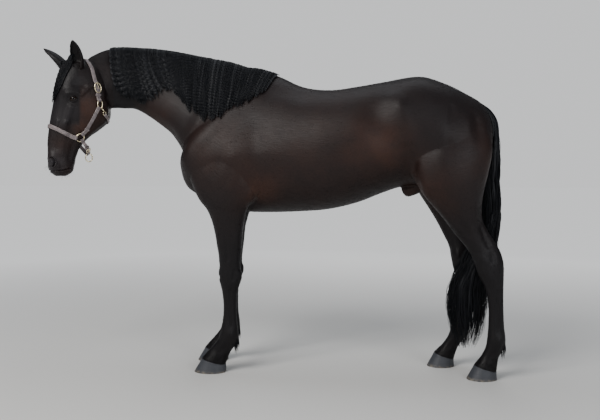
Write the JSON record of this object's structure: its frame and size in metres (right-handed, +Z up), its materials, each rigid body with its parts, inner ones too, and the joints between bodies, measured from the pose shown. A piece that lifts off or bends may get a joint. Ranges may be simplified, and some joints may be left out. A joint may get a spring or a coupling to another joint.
{
  "type": "horse",
  "caption": "Life-size standing black horse with a wavy mane, long tail and a leather halter with brass fittings, head turned a little to its left.",
  "frame": {"origin": "middle of the bounding box's base, on the floor between the hooves", "axes": "+X towards the tail (the horse looks along -X), +Y to the horse's right, +Z up"},
  "size_m": [2.5446, 0.6344, 1.8395],
  "materials": {
    "coat": "short glossy black hair, brown-black where thin",
    "long_hair": "long black wavy hair with a blue-black sheen",
    "horn": "dark grey hoof horn, faint growth rings",
    "eye": "wet dark brown eye",
    "halter_leather": "stitched grey-brown strap leather",
    "halter_brass": "pale polished brass"
  },
  "bodies": {
    "root": {"head": "coat", "neck": "coat", "trunk": "coat", "leg_fore_left": "coat", "leg_fore_right": "coat", "leg_hind_left": "coat", "leg_hind_right": "coat", "ear_left": "coat", "ear_right": "coat", "mane": "long_hair", "tail": "long_hair", "forelock": "long_hair", "hoof_fore_left": "horn", "hoof_fore_right": "horn", "hoof_hind_left": "horn", "hoof_hind_right": "horn", "eye_left": "eye", "eye_right": "eye", "crown_strap": "halter_leather", "cheek_strap_left": "halter_leather", "cheek_strap_right": "halter_leather", "noseband": "halter_leather", "chin_strap": "halter_leather", "throat_strap": "halter_leather", "ring_upper_left": "halter_brass", "ring_upper_right": "halter_brass", "ring_lower_left": "halter_brass", "ring_lower_right": "halter_brass", "crown_buckle": "halter_brass", "chin_ring": "halter_brass", "throat_ring": "halter_brass"}
  },
  "joints": []
}
